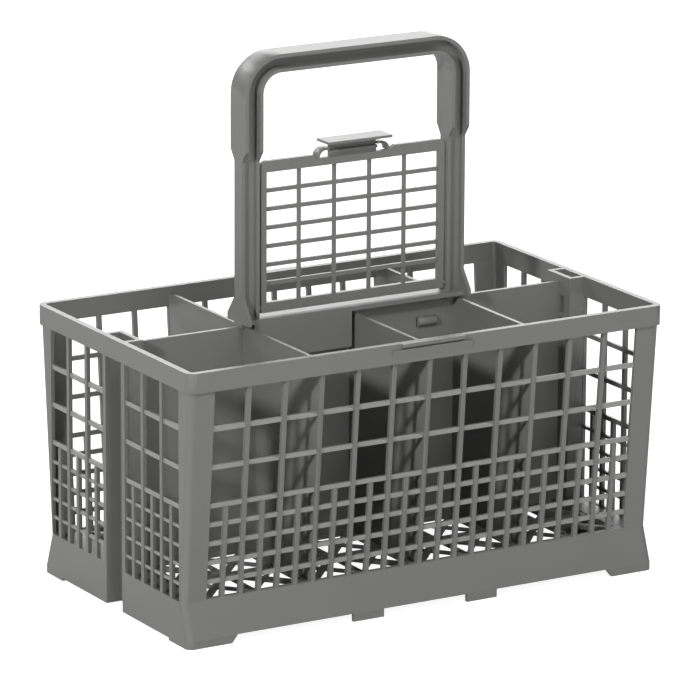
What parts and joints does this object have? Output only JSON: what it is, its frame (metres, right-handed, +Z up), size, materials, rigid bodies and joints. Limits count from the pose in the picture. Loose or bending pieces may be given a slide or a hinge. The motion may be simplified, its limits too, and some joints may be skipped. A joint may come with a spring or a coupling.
{
  "type": "dishwasher cutlery basket",
  "caption": "Grid-walled cutlery basket with divided compartments, a clip-on arched carrying handle and a hinged grid flap that folds over the front row.",
  "frame": {"origin": "middle of the footprint, on the surface that the basket stands on", "axes": "+X along the long side, +Y to the back, +Z up; the flap folds towards -Y"},
  "size_m": [0.2424, 0.144, 0.2434],
  "materials": {
    "basket_plastic": "satin moulded polypropylene, mid grey",
    "handle_plastic": "satin moulded polypropylene, mid grey",
    "flap_plastic": "satin moulded polypropylene, mid grey"
  },
  "bodies": {
    "basket": {"basket": "basket_plastic", "handle": "handle_plastic"},
    "flap": {"flap": "flap_plastic"}
  },
  "joints": [
    {"name": "flap_hinge", "type": "hinge", "parent": "basket", "child": "flap", "pos_m": [0, -0.0012, 0.1286], "axis": [1, 0, 0], "range_deg": [0, 92]}
  ]
}
